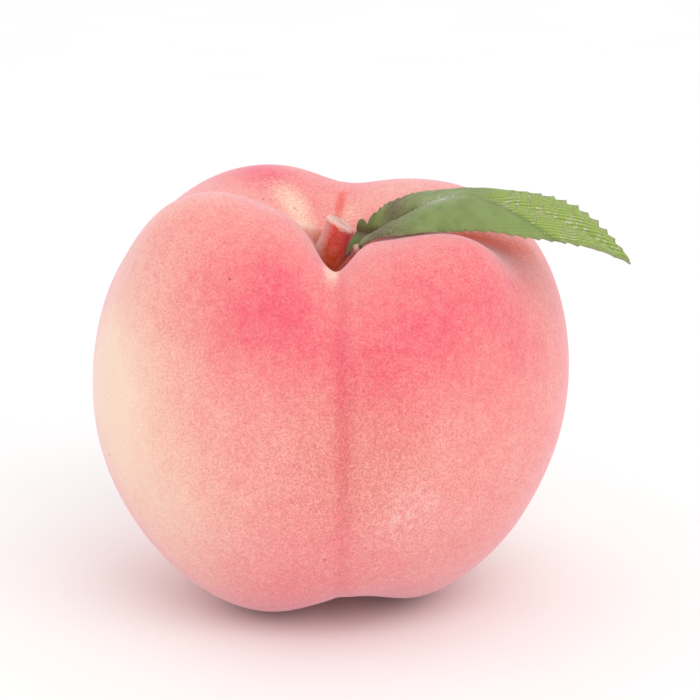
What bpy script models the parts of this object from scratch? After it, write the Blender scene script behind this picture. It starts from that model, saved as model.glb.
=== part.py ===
"""Artificial peach: a moulded fruit with its stem stub, one die-cut cloth leaf, and the glue that holds it.

Row frame in metres: +Z up, the seam of the fruit faces -Y, and the leaf reaches out towards +X.
The origin lies on the flat spot that the fruit rests on. Sizes below are in millimetres and degrees,
and places are counted from the fruit's centre until lift_to_rest moves them to the row frame.
"""
import math

import bpy
import numpy as np

MM = 0.001

# Fruit: a rounded ellipsoid, 80 mm wide, before its lobes, furrows and stem hollow
HALF_WIDTH = 40.0
HALF_DEPTH = 38.0
CROWN_HEIGHT = 41.5
BASE_HEIGHT = 37.0
ROUNDNESS = 2.06
CROWN_BLEND = 0.12

# Lobes: height, azimuth from the seam towards +X, angle down from the top, spread
LOBES = {
    "front left shoulder": (9.0, -51.0, 35.5, 23.5),
    "front right shoulder": (-0.6, 51.5, 31.0, 19.0),
    "front right crown": (5.1, 43.0, 50.0, 12.7),
    "back left shoulder": (6.0, -150.0, 39.0, 26.0),
    "back right shoulder": (4.0, 130.0, 48.5, 30.5),
    "front left base": (3.6, -27.0, 134.0, 30.0),
    "front right base": (1.0, 47.0, 145.0, 22.0),
    "right flank": (-1.2, 88.0, 114.0, 20.0),
}

# Furrows: azimuth, depth, angle down from the top, spread along, half width
FURROWS = {
    "seam at the rim": (1.5, 12.5, 17.0, 24.0, 4.75),
    "seam crease": (2.5, 0.8, 85.0, 52.0, 1.6),
    "seam at the base": (7.0, 5.0, 160.5, 19.0, 9.4),
    "back groove": (174.0, 2.0, 34.0, 20.0, 7.9),
    "left dip": (-92.0, 1.0, 38.0, 16.0, 9.4),
    "right dip": (82.5, 3.5, 40.5, 10.5, 10.5),
}
FURROW_SIDE_BLEND = 0.08
HOLLOW_DEPTH = 21.2
HOLLOW_SPREAD = 33.0

# Flat spot under the mass centre
REST_X = -0.5
REST_Y = 3.0
REST_Z = -35.9

# Stem stub, moulded with the fruit: broad at its foot, leaning towards the seam, cut on a slant at its top
STEM_FOOT = (-0.8, 1.4, 18.4)
STEM_TOP = (1.6, 0.2, 27.3)
STEM_WAIST_RADIUS = 2.25
STEM_TOP_RADIUS = 2.35
STEM_FOOT_RADIUS = 3.6
STEM_CUT_SLANT = 17.0
STEM_FILLET_HEIGHT = 2.4
STEM_RIM_ROUND = 0.6
STEM_DISH_DEPTH = 0.35

# Fruit mesh
COLUMNS = 84
BODY_RINGS = 44
STEM_WALL_RINGS = 5
FOOT_ANGLE = 14.5
SEAM_CROWDING = 0.45

# Leaf: where the midrib runs, and the angles that the two halves hang at along it
LEAF_MIDRIB = (
    (4.3, -1.9, 26.4),
    (6.4, -4.1, 26.4),
    (8.6, -6.4, 27.5),
    (11.8, -8.5, 30.2),
    (16.0, -9.6, 32.8),
    (21.2, -10.6, 34.4),
    (27.3, -11.9, 33.9),
    (33.7, -12.9, 32.3),
    (39.3, -13.4, 29.8),
    (44.2, -13.5, 26.8),
    (48.6, -13.5, 23.9),
)
LEAF_FAR_RISE = (86.0, 72.0, 50.0, 22.0, 2.0, -9.0, -2.0, 11.0, 24.0, 28.0, 20.0)
LEAF_NEAR_FALL = (54.0, 30.0, 8.0, 9.0, 21.0, 32.0, 32.0, 33.0, 21.0, 10.0, 4.0)
LEAF_HALF_WIDTH = 8.0
LEAF_WIDEST = 0.42
BASE_FULLNESS = 0.9
LEAF_THICKNESS = 0.6
LEAF_CAMBER = 0.9
LEAF_TEETH = 27
TOOTH_DEPTH = 0.7
TOOTH_STEP = 0.12
TEETH_FULL_AT = 0.3
TAB_LENGTH = 0.045
TAB_FAR = 2.2
TAB_NEAR = 4.8
NECK_AT = 0.085
NECK_HALF_WIDTH = 1.5
TIP_HALF_WIDTH = 0.5
LEAF_COLUMNS = 3

# Glue bead between the leaf's tab, the stem and the hollow's wall
GLUE_CENTRE = (5.1, -3.4, 24.4)
GLUE_RADII = (0.9, 1.0, 0.7)
GLUE_SIDES = 20
GLUE_RINGS = 12


def clear_scene():
    """Removes every object and mesh of the open scene."""
    for thing in list(bpy.data.objects):
        bpy.data.objects.remove(thing, do_unlink=True)
    for mesh in list(bpy.data.meshes):
        bpy.data.meshes.remove(mesh)


def principled(name, colour, roughness, metallic=0.0):
    """Returns a Principled material."""
    material = bpy.data.materials.new(name)
    material.use_nodes = True
    shader = material.node_tree.nodes["Principled BSDF"]
    shader.inputs["Base Color"].default_value = (*colour, 1.0)
    shader.inputs["Roughness"].default_value = roughness
    shader.inputs["Metallic"].default_value = metallic
    material.diffuse_color = (*colour, 1.0)
    return material


def bell(x):
    """Returns exp(-x^2), a smooth bump of height 1."""
    return np.exp(-np.square(x))


def smooth_step(x):
    """Returns 0 below 0, 1 above 1, and 3x^2 - 2x^3 between."""
    x = np.clip(x, 0.0, 1.0)
    return x * x * (3.0 - 2.0 * x)


def directions(azimuth, polar):
    """Returns unit vectors; azimuth runs from -Y towards +X, polar down from +Z, in radians."""
    return (
        np.sin(polar) * np.sin(azimuth),
        -np.sin(polar) * np.cos(azimuth),
        np.cos(polar) + 0.0 * azimuth,
    )


def lobe(direction, height, azimuth, polar, spread):
    """Returns height * bell(angle from the lobe's middle / spread)."""
    middle = directions(math.radians(azimuth), math.radians(polar))
    cosine = sum(a * b for a, b in zip(direction, middle))
    angle = np.degrees(np.arccos(np.clip(cosine, -1.0, 1.0)))
    return height * bell(angle / spread)


def furrow(azimuth, polar, radius, at, depth, down, spread, half_width):
    """Returns the depth of a furrow that runs down the meridian `at`, on that side only."""
    turn = azimuth - math.radians(at)
    along = np.sin(polar) * np.cos(turn)
    across = radius * np.sin(polar) * np.sin(turn)
    side = 1.0 / (1.0 + np.exp(-along / FURROW_SIDE_BLEND))
    return depth * bell((np.degrees(polar) - down) / spread) * bell(across / half_width) * side


def fruit_radius(azimuth, polar):
    """Returns the distance from the centre to the skin: ellipsoid + lobes - furrows - stem hollow."""
    x, y, z = directions(azimuth, polar)
    upper = 0.5 + 0.5 * z / (np.abs(z) + CROWN_BLEND)
    half_height = BASE_HEIGHT + (CROWN_HEIGHT - BASE_HEIGHT) * upper
    power = ROUNDNESS
    total = np.abs(x / HALF_WIDTH) ** power
    total += np.abs(y / HALF_DEPTH) ** power
    total += np.abs(z / half_height) ** power
    radius = total ** (-1.0 / power)
    for shape in LOBES.values():
        radius = radius + lobe((x, y, z), *shape)
    cut = HOLLOW_DEPTH * bell(np.degrees(polar) / HOLLOW_SPREAD)
    for shape in FURROWS.values():
        cut = cut + furrow(azimuth, polar, radius, *shape)
    return radius - cut


def skin(azimuth, polar):
    """Returns points of the skin, with the flat spot that the fruit rests on."""
    points = np.stack(directions(azimuth, polar), axis=-1) * fruit_radius(azimuth, polar)[..., None]
    points[..., 2] = np.maximum(points[..., 2], REST_Z)
    return points


def stem_ring(azimuth, height, radius):
    """Returns a ring round the stem's axis, `height` from 0 at its foot to 1 at its top."""
    foot = np.array(STEM_FOOT)
    axis = np.array(STEM_TOP) - foot
    length = np.linalg.norm(axis)
    axis = axis / length
    side = np.cross((0.0, 1.0, 0.0), axis)
    side = side / np.linalg.norm(side)
    front = np.cross(side, axis)
    ring = np.sin(azimuth)[:, None] * side + np.cos(azimuth)[:, None] * front
    return foot + axis * length * height + radius * ring


def stem_radius(height):
    """Returns the stem's radius: wide at its foot, narrow at its waist, a little wider at its cut top."""
    foot = (STEM_FOOT_RADIUS - STEM_WAIST_RADIUS) * (1.0 - smooth_step(height / 0.75))
    top = (STEM_TOP_RADIUS - STEM_WAIST_RADIUS) * smooth_step((height - 0.6) / 0.4)
    return STEM_WAIST_RADIUS + foot + top


def slant(ring, share=1.0):
    """Lowers a ring towards +X, as the stem's cut slopes."""
    drop = math.tan(math.radians(STEM_CUT_SLANT)) * share
    lowered = ring.copy()
    lowered[:, 2] -= drop * (ring[:, 0] - STEM_TOP[0])
    return lowered


def lift_to_rest(points):
    """Moves points from the fruit's centre to the row frame, in metres."""
    return (np.asarray(points) - np.array([REST_X, REST_Y, REST_Z])) * MM


def make_object(name, points, faces, material, smooth=True):
    """Makes a mesh object from points in the row frame."""
    mesh = bpy.data.meshes.new(name)
    mesh.from_pydata([tuple(p) for p in points], [], faces)
    mesh.validate()
    mesh.materials.append(material)
    if smooth:
        mesh.shade_smooth()
        mesh.set_sharp_from_angle(angle=math.radians(50.0))
    thing = bpy.data.objects.new(name, mesh)
    bpy.context.scene.collection.objects.link(thing)
    return thing


def tube_faces(rings, columns):
    """Returns triangles between rings of points, counted ring by ring from the top down."""
    faces = []
    for ring in range(rings - 1):
        for column in range(columns):
            right = (column + 1) % columns
            a = ring * columns + column
            b = ring * columns + right
            c = a + columns
            d = b + columns
            faces.append((a, c, d))
            faces.append((a, d, b))
    return faces


def make_fruit(material):
    """Builds the fruit and its stem as one skin, from the middle of the cut top to the flat spot."""
    step = np.linspace(-math.pi, math.pi, COLUMNS, endpoint=False)
    azimuth = step - SEAM_CROWDING * np.sin(step)

    rings = []
    rings.append(slant(stem_ring(azimuth, 1.0, 0.5 * STEM_TOP_RADIUS)))
    rings[0][:, 2] -= STEM_DISH_DEPTH
    rings.append(slant(stem_ring(azimuth, 1.0, STEM_TOP_RADIUS - STEM_RIM_ROUND)))
    stem_length = math.dist(STEM_FOOT, STEM_TOP)
    rings.append(slant(stem_ring(azimuth, 1.0 - STEM_RIM_ROUND / stem_length, STEM_TOP_RADIUS)))
    fillet_top = STEM_FILLET_HEIGHT / stem_length
    for height in np.linspace(0.82, fillet_top, STEM_WALL_RINGS):
        rings.append(slant(stem_ring(azimuth, height, stem_radius(height)), float(smooth_step(height))))

    first = skin(azimuth, np.full(COLUMNS, math.radians(FOOT_ANGLE)))
    last = rings[-1]
    for share in (0.3, 0.7):
        drop = math.sin(share * math.pi / 2.0)
        out = 1.0 - math.cos(share * math.pi / 2.0)
        ring = last + (first - last) * out
        ring[:, 2] = last[:, 2] + (first[:, 2] - last[:, 2]) * drop
        rings.append(ring)

    share = np.linspace(0.0, 1.0, BODY_RINGS + 1)[:-1]
    polar = FOOT_ANGLE + (180.0 - FOOT_ANGLE) * (0.62 * share + 0.38 * share ** 2)
    for angle in np.radians(polar):
        rings.append(skin(azimuth, np.full(COLUMNS, angle)))

    top = np.array(STEM_TOP) - np.array([0.0, 0.0, STEM_DISH_DEPTH])
    bottom = skin(np.zeros(1), np.full(1, math.pi))[0]
    points = np.concatenate([*rings, top[None], bottom[None]])
    faces = tube_faces(len(rings), COLUMNS)
    top_index = len(points) - 2
    bottom_index = len(points) - 1
    last_ring = (len(rings) - 1) * COLUMNS
    for column in range(COLUMNS):
        right = (column + 1) % COLUMNS
        faces.append((top_index, column, right))
        faces.append((bottom_index, last_ring + right, last_ring + column))
    return make_object("fruit", lift_to_rest(points), faces, material)


def spline(values, place):
    """Returns a Catmull-Rom curve through evenly spaced values, at place 0 to 1."""
    values = [np.asarray(v, dtype=float) for v in values]
    count = len(values) - 1
    index = min(int(place * count), count - 1)
    t = place * count - index
    before = values[index - 1] if index > 0 else 2.0 * values[0] - values[1]
    after = values[index + 2] if index + 2 <= count else 2.0 * values[count] - values[count - 1]
    a = values[index]
    b = values[index + 1]
    return 0.5 * (
        2.0 * a
        + (b - before) * t
        + (2.0 * before - 5.0 * a + 4.0 * b - after) * t ** 2
        + (3.0 * a - before - 3.0 * b + after) * t ** 3
    )


def blade_half_width(place):
    """Returns the lance-shaped blade's half width without teeth."""
    if place < LEAF_WIDEST:
        return LEAF_HALF_WIDTH * math.sin(0.5 * math.pi * place / LEAF_WIDEST) ** BASE_FULLNESS
    return LEAF_HALF_WIDTH * math.cos(0.5 * math.pi * (place - LEAF_WIDEST) / (1.0 - LEAF_WIDEST)) ** 0.85


def leaf_half_width(place, tab_reach):
    """Returns the half width with the tab and the neck at the leaf's base."""
    if place < NECK_AT:
        share = smooth_step((place - TAB_LENGTH) / (NECK_AT - TAB_LENGTH))
        return float(tab_reach + (NECK_HALF_WIDTH - tab_reach) * share)
    if place < LEAF_WIDEST:
        return max(blade_half_width(place), NECK_HALF_WIDTH)
    return max(blade_half_width(place), TIP_HALF_WIDTH)


def leaf_stations():
    """Returns (place, tooth height) pairs; each tooth rises towards the tip and steps in."""
    stations = [(0.0, 0.0), (0.5 * TAB_LENGTH, 0.0), (TAB_LENGTH, 0.0)]
    stations.append((0.5 * (TAB_LENGTH + NECK_AT), 0.0))
    pitch = (1.0 - NECK_AT) / LEAF_TEETH
    for tooth in range(LEAF_TEETH):
        start = NECK_AT + tooth * pitch
        stations.append((start, 0.0))
        stations.append((start + (1.0 - TOOTH_STEP) * pitch, 1.0))
    return stations


def leaf_point(place, across, half_width, edge):
    """Returns a point of the leaf's middle surface; across is -1 at the near edge, 1 at the far one."""
    middle = spline(LEAF_MIDRIB, place)
    ahead = spline(LEAF_MIDRIB, min(place + 0.01, 1.0)) - spline(LEAF_MIDRIB, max(place - 0.01, 0.0))
    ahead = ahead / np.linalg.norm(ahead)
    side = np.cross((0.0, 0.0, 1.0), ahead)
    side = side / np.linalg.norm(side)
    up = np.cross(ahead, side)
    reach = abs(across)
    if across > 0.0:
        angle = math.radians(float(spline(LEAF_FAR_RISE, place)))
    else:
        angle = math.radians(-float(spline(LEAF_NEAR_FALL, place)))
    out = side if across > 0.0 else -side
    distance = half_width * reach + (edge if reach > 0.99 else 0.0)
    arch = LEAF_CAMBER * half_width / LEAF_HALF_WIDTH * math.sin(math.pi * reach)
    away = out * math.cos(angle) + up * math.sin(angle)
    raised = up * math.cos(angle) - out * math.sin(angle)
    return middle + away * distance + raised * arch


def make_leaf(material):
    """Builds the cloth leaf as a thin solid with saw-toothed edges, split alike on both faces."""
    lines = [k / LEAF_COLUMNS for k in range(-LEAF_COLUMNS, LEAF_COLUMNS + 1)]
    stations = leaf_stations()
    rows = []
    for place, tooth in stations:
        near = leaf_half_width(place, TAB_NEAR)
        far = leaf_half_width(place, TAB_FAR)
        depth = TOOTH_DEPTH * min(1.0, near / (0.45 * LEAF_HALF_WIDTH)) * float(smooth_step(place / TEETH_FULL_AT))
        row = [leaf_point(place, v, far if v > 0 else near, tooth * depth - 0.5 * depth) for v in lines]
        rows.append(row)
    grid = np.array(rows)
    tip = spline(LEAF_MIDRIB, 1.0)

    along = np.gradient(grid, axis=0)
    across = np.gradient(grid, axis=1)
    normal = np.cross(along, across)
    normal /= np.linalg.norm(normal, axis=-1, keepdims=True)
    half = 0.5 * LEAF_THICKNESS
    upper = (grid + half * normal).reshape(-1, 3)
    lower = (grid - half * normal).reshape(-1, 3)
    tip_normal = normal[-1, LEAF_COLUMNS]
    tips = np.array([tip + half * tip_normal, tip - half * tip_normal])
    points = np.concatenate([upper, lower, tips])

    width = len(lines)
    count = len(stations)
    shift = len(upper)
    top_tip = 2 * shift
    low_tip = top_tip + 1
    faces = []
    for row in range(count - 1):
        for column in range(width - 1):
            a = row * width + column
            b = a + 1
            c = a + width
            d = c + 1
            for one, two, three in ((a, c, d), (a, d, b)):
                faces.append((one, two, three))
                faces.append((three + shift, two + shift, one + shift))
    last = (count - 1) * width
    for column in range(width - 1):
        a = last + column
        faces.append((a, top_tip, a + 1))
        faces.append((a + 1 + shift, low_tip, a + shift))

    border = [row * width for row in range(count)]
    border += [top_tip]
    border += [row * width + width - 1 for row in reversed(range(count))]
    border += list(reversed(range(1, width - 1)))
    for here, there in zip(border, border[1:] + border[:1]):
        low_here = low_tip if here == top_tip else here + shift
        low_there = low_tip if there == top_tip else there + shift
        faces.append((here, low_here, low_there))
        faces.append((here, low_there, there))
    return make_object("leaf", lift_to_rest(points), faces, material)


def make_glue(material):
    """Builds the hardened glue bead as an egg-shaped drop."""
    azimuth = np.linspace(0.0, 2.0 * math.pi, GLUE_SIDES, endpoint=False)
    centre = np.array(GLUE_CENTRE)
    rings = []
    for ring in range(1, GLUE_RINGS):
        polar = math.pi * ring / GLUE_RINGS
        droop = 1.0 + 0.18 * math.cos(polar)
        ring_points = np.stack(
            [
                GLUE_RADII[0] * droop * math.sin(polar) * np.sin(azimuth),
                -GLUE_RADII[1] * droop * math.sin(polar) * np.cos(azimuth),
                np.full(GLUE_SIDES, GLUE_RADII[2] * math.cos(polar)),
            ],
            axis=-1,
        )
        rings.append(centre + ring_points)
    top = centre + np.array([0.0, 0.0, GLUE_RADII[2]])
    bottom = centre - np.array([0.0, 0.0, GLUE_RADII[2]])
    points = np.concatenate([*rings, top[None], bottom[None]])
    faces = tube_faces(len(rings), GLUE_SIDES)
    top_index = len(points) - 2
    bottom_index = len(points) - 1
    last_ring = (len(rings) - 1) * GLUE_SIDES
    for column in range(GLUE_SIDES):
        right = (column + 1) % GLUE_SIDES
        faces.append((top_index, column, right))
        faces.append((bottom_index, last_ring + right, last_ring + column))
    return make_object("glue_bead", lift_to_rest(points), faces, material)


def main():
    """Builds the three pieces of the peach."""
    clear_scene()
    make_fruit(principled("flocked skin", (0.91, 0.42, 0.40), 0.9))
    make_leaf(principled("leaf cloth", (0.24, 0.37, 0.12), 0.85))
    make_glue(principled("hot glue", (0.86, 0.80, 0.68), 0.35))


main()
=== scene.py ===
# %% [markdown]
# An artificial peach
# The object is a decoration: a moulded foam peach with airbrushed paint and short flock, one woven
# polyester leaf, and a drop of hot-melt glue. The frame is the part's solid model, and this script dresses
# it with finer surfaces and finishes. The frame is loaded first, because every piece must stay inside it.

# %% Load the frame
import math

import bpy
import mathutils
import numpy as np
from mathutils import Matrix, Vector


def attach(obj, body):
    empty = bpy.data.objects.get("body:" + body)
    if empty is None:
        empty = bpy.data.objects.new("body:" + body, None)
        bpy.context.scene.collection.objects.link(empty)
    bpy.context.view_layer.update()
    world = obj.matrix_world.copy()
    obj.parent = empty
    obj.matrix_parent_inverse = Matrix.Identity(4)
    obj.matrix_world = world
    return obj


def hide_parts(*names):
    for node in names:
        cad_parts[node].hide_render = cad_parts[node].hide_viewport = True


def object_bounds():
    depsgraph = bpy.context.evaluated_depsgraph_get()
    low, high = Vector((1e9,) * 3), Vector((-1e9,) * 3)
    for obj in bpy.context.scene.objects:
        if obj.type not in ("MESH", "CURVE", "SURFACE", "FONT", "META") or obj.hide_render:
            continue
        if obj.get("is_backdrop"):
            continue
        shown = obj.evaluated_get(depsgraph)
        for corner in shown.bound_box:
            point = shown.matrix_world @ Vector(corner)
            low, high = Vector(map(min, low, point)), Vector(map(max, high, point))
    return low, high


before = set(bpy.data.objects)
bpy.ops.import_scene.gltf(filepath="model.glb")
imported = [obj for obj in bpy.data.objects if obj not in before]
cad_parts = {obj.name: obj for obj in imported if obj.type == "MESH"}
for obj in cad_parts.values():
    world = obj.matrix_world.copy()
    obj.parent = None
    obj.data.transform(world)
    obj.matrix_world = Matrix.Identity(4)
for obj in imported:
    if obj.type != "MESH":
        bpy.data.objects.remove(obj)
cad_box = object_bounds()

print("frame nodes:", sorted(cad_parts))

# %% [markdown]
# Units
# The shapes are worked out in millimetres from the middle of the fruit, because that is how a mould maker
# would draw them. Blender and the frame use metres from the flat spot that the fruit rests on, so one
# function moves finished points there.

# %% Millimetres to the frame
MM = 0.001
REST_SPOT = np.array([-0.5, 3.0, -35.9])


def lift_to_rest(points):
    """Moves points in millimetres from the fruit's middle to the frame: (points - rest spot) * 0.001."""
    return (np.asarray(points) - REST_SPOT) * MM


def bell(x):
    """exp(-x^2): a smooth bump of height 1."""
    return np.exp(-np.square(x))


def smooth_step(x):
    """0 below 0, 1 above 1, and 3x^2 - 2x^3 between."""
    x = np.clip(x, 0.0, 1.0)
    return x * x * (3.0 - 2.0 * x)


# %% [markdown]
# The form of the fruit
# A peach is an ellipsoid with broad lobes round its stem hollow and a seam from top to bottom. It could be
# sculpted, but a formula can be read and changed: the distance from the middle to the skin is that of an
# ellipsoid, plus a few smooth lobes, less the furrows and the hollow. All but the low swell of the front
# right crest are the sizes of the solid model, so the fine surface lies on it.

# %% Fruit sizes
HALF_WIDTH = 40.0
HALF_DEPTH = 38.0
CROWN_HEIGHT = 41.5
BASE_HEIGHT = 37.0
ROUNDNESS = 2.06
CROWN_BLEND = 0.12
HOLLOW_DEPTH = 21.2
HOLLOW_SPREAD = 33.0
FURROW_SIDE_BLEND = 0.08

# Each lobe: height, azimuth from the seam towards +X, angle down from the top, spread
LOBES = {
    "front left shoulder": (9.0, -51.0, 35.5, 23.5),
    "front right shoulder": (-0.6, 51.5, 31.0, 19.0),
    "front right crown": (5.1, 43.0, 50.0, 12.7),
    "front right crest": (0.7, 47.0, 37.0, 10.0),
    "back left shoulder": (6.0, -150.0, 39.0, 26.0),
    "back right shoulder": (4.0, 130.0, 48.5, 30.5),
    "front left base": (3.6, -27.0, 134.0, 30.0),
    "front right base": (1.0, 47.0, 145.0, 22.0),
    "right flank": (-1.2, 88.0, 114.0, 20.0),
}

# Each furrow: azimuth, depth, angle down from the top, spread along, half width
FURROWS = {
    "seam at the rim": (1.5, 12.5, 17.0, 24.0, 4.75),
    "seam crease": (2.5, 0.8, 85.0, 52.0, 1.6),
    "seam at the base": (7.0, 5.0, 160.5, 19.0, 9.4),
    "back groove": (174.0, 2.0, 34.0, 20.0, 7.9),
    "left dip": (-92.0, 1.0, 38.0, 16.0, 9.4),
    "right dip": (82.5, 3.5, 40.5, 10.5, 10.5),
}


# %% Lobes and furrows
def directions(azimuth, polar):
    """Unit vectors: azimuth turns from -Y towards +X, polar tilts down from +Z, both in radians."""
    x = np.sin(polar) * np.sin(azimuth)
    y = -np.sin(polar) * np.cos(azimuth)
    z = np.cos(polar) + 0.0 * azimuth
    return x, y, z


def lobe(direction, height, azimuth, polar, spread):
    """height * bell(angle between the direction and the lobe's middle / spread)."""
    middle = directions(math.radians(azimuth), math.radians(polar))
    cosine = sum(a * b for a, b in zip(direction, middle))
    angle = np.degrees(np.arccos(np.clip(cosine, -1.0, 1.0)))
    return height * bell(angle / spread)


def furrow(azimuth, polar, radius, at, depth, down, spread, half_width):
    """depth * bell along the meridian `at` * bell across it, on that side of the fruit only."""
    turn = azimuth - math.radians(at)
    along = np.sin(polar) * np.cos(turn)
    across = radius * np.sin(polar) * np.sin(turn)
    side = 1.0 / (1.0 + np.exp(-along / FURROW_SIDE_BLEND))
    return depth * bell((np.degrees(polar) - down) / spread) * bell(across / half_width) * side


def fruit_radius(azimuth, polar):
    """Distance from the middle to the skin: ellipsoid + lobes - furrows - stem hollow."""
    x, y, z = directions(azimuth, polar)
    upper = 0.5 + 0.5 * z / (np.abs(z) + CROWN_BLEND)
    half_height = BASE_HEIGHT + (CROWN_HEIGHT - BASE_HEIGHT) * upper
    total = np.abs(x / HALF_WIDTH) ** ROUNDNESS
    total = total + np.abs(y / HALF_DEPTH) ** ROUNDNESS
    total = total + np.abs(z / half_height) ** ROUNDNESS
    radius = total ** (-1.0 / ROUNDNESS)
    for shape in LOBES.values():
        radius = radius + lobe((x, y, z), *shape)
    cut = HOLLOW_DEPTH * bell(np.degrees(polar) / HOLLOW_SPREAD)
    for shape in FURROWS.values():
        cut = cut + furrow(azimuth, polar, radius, *shape)
    return radius - cut


# %% [markdown]
# Small unevenness
# Moulded foam shrinks a little as it cools, so no stretch of it is a perfect curve. A displacement modifier
# could do this, but a sum of a few sine waves over the direction is exact, cheap and the same each time.

# %% Shrinkage of the foam
SHRINKAGE = 0.10
SHRINKAGE_WAVES = (
    ((5.1, 2.3, 7.7), 0.4),
    ((-9.3, 6.1, 3.2), 1.9),
    ((12.7, -4.4, 9.8), 3.1),
    ((-6.6, 15.2, -11.9), 5.0),
)


def shrinkage(azimuth, polar):
    """SHRINKAGE / 4 * sum of sin(wave . direction + phase), in millimetres."""
    x, y, z = directions(azimuth, polar)
    total = 0.0
    for (a, b, c), phase in SHRINKAGE_WAVES:
        total = total + np.sin(a * x + b * y + c * z + phase)
    return SHRINKAGE * total / len(SHRINKAGE_WAVES)


def skin(azimuth, polar):
    """Points of the skin, never lower than the flat spot."""
    radius = fruit_radius(azimuth, polar) - SHRINKAGE + shrinkage(azimuth, polar)
    points = np.stack(directions(azimuth, polar), axis=-1) * radius[..., None]
    points[..., 2] = np.maximum(points[..., 2], REST_SPOT[2])
    return points


# %% [markdown]
# The stem stub
# On the real fruit the stub is foam too, cast in the same mould, and its top is cut on a slant. It could be
# a piece of its own, but there is no seam between the two, so its rings lead straight into the hollow: a
# dished cut, a rounded rim, a wall that widens at its foot, and a fillet.

# %% Stem sizes
STEM_FOOT = np.array([-0.8, 1.4, 18.4])
STEM_TOP = np.array([1.6, 0.2, 27.3])
STEM_WAIST_RADIUS = 2.25
STEM_TOP_RADIUS = 2.35
STEM_FOOT_RADIUS = 3.6
STEM_CUT_SLANT = 17.0
STEM_FILLET_HEIGHT = 2.4
STEM_RIM_ROUND = 0.6
STEM_DISH_DEPTH = 0.35
STEM_RIDGES = 7
STEM_RIDGE_HEIGHT = 0.02
FOOT_ANGLE = 14.5
STEM_LENGTH = float(np.linalg.norm(STEM_TOP - STEM_FOOT))


# %% Stem rings
def stem_radius(height):
    """Radius at height 0 (foot) to 1 (top): wide foot, narrow waist, slightly wider top."""
    foot = (STEM_FOOT_RADIUS - STEM_WAIST_RADIUS) * (1.0 - smooth_step(height / 0.75))
    top = (STEM_TOP_RADIUS - STEM_WAIST_RADIUS) * smooth_step((height - 0.6) / 0.4)
    return STEM_WAIST_RADIUS + foot + top


def stem_points(azimuth, height, radius, slant):
    """Foot + axis * height + radius around it, then lowered towards +X by the cut's slope * slant."""
    axis = (STEM_TOP - STEM_FOOT) / STEM_LENGTH
    side = np.cross((0.0, 1.0, 0.0), axis)
    side = side / np.linalg.norm(side)
    front = np.cross(side, axis)
    ridge = np.sin(STEM_RIDGES * azimuth + 3.0 * height) * smooth_step(height * 2.0)
    ridge = 1.0 + STEM_RIDGE_HEIGHT * ridge
    around = np.sin(azimuth)[..., None] * side + np.cos(azimuth)[..., None] * front
    points = STEM_FOOT + axis * STEM_LENGTH * height[..., None] + (radius * ridge)[..., None] * around
    points[..., 2] -= math.tan(math.radians(STEM_CUT_SLANT)) * slant * (points[..., 0] - STEM_TOP[0])
    return points


# %% [markdown]
# One skin from the cut top to the flat spot
# All rings go into one grid with the same number of points, so a quad joins each four neighbours. More of
# the columns stand near the seam, where the surface bends most, and each part of the grid has only as many
# rings as its curve needs. The grid stays under 200,000 triangles.

# %% Fruit grid
COLUMNS = 324
BODY_RINGS = 236
CUT_RINGS = 6
RIM_RINGS = 5
WALL_RINGS = 16
FILLET_RINGS = 8
SEAM_CROWDING = 0.45


def ring_grid(values):
    """Repeats one value a ring over all columns."""
    return np.repeat(np.asarray(values, dtype=float)[:, None], COLUMNS, axis=1)


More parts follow.
